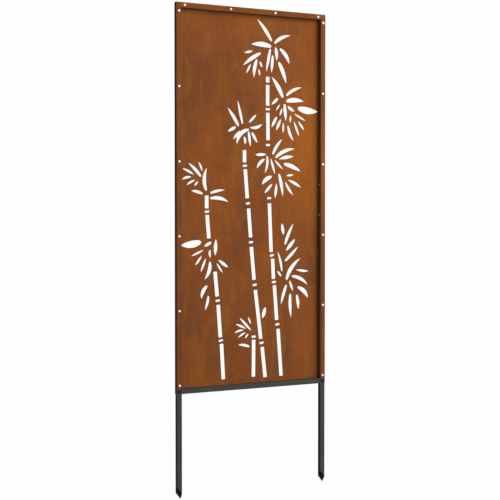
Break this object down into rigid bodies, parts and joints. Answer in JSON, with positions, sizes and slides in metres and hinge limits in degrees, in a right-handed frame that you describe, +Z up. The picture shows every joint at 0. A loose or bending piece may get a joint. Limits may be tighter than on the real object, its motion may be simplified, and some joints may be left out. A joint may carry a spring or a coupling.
{
  "type": "garden privacy screen",
  "caption": "Upright garden screen: a flat cut-out bamboo sheet in a folded rust-coloured rim, on a black square-tube frame whose uprights end in pointed ground stakes.",
  "frame": {"origin": "on the ground line, level with the panel's lower edge, at the middle of the width and of the rim's depth", "axes": "+Z up, +X to the right as seen from the front, front towards -Y"},
  "size_m": [0.6, 0.0276, 1.7992],
  "materials": {
    "weathered_steel": "matte rust",
    "black_steel": "satin powder coat",
    "bright_zinc": "bright zinc plate",
    "black_zinc": "satin black"
  },
  "bodies": {
    "root": {"bamboo_sheet": "weathered_steel", "left_rim": "weathered_steel", "right_rim": "weathered_steel", "top_rim": "weathered_steel", "left_upright": "black_steel", "right_upright": "black_steel", "top_bar": "black_steel", "bottom_bar": "black_steel", "rim_bolts": "bright_zinc", "rim_nuts": "bright_zinc", "foot_bolts": "black_zinc", "foot_nuts": "black_zinc", "left_wall_screws": "bright_zinc", "right_wall_screws": "bright_zinc"}
  },
  "joints": []
}
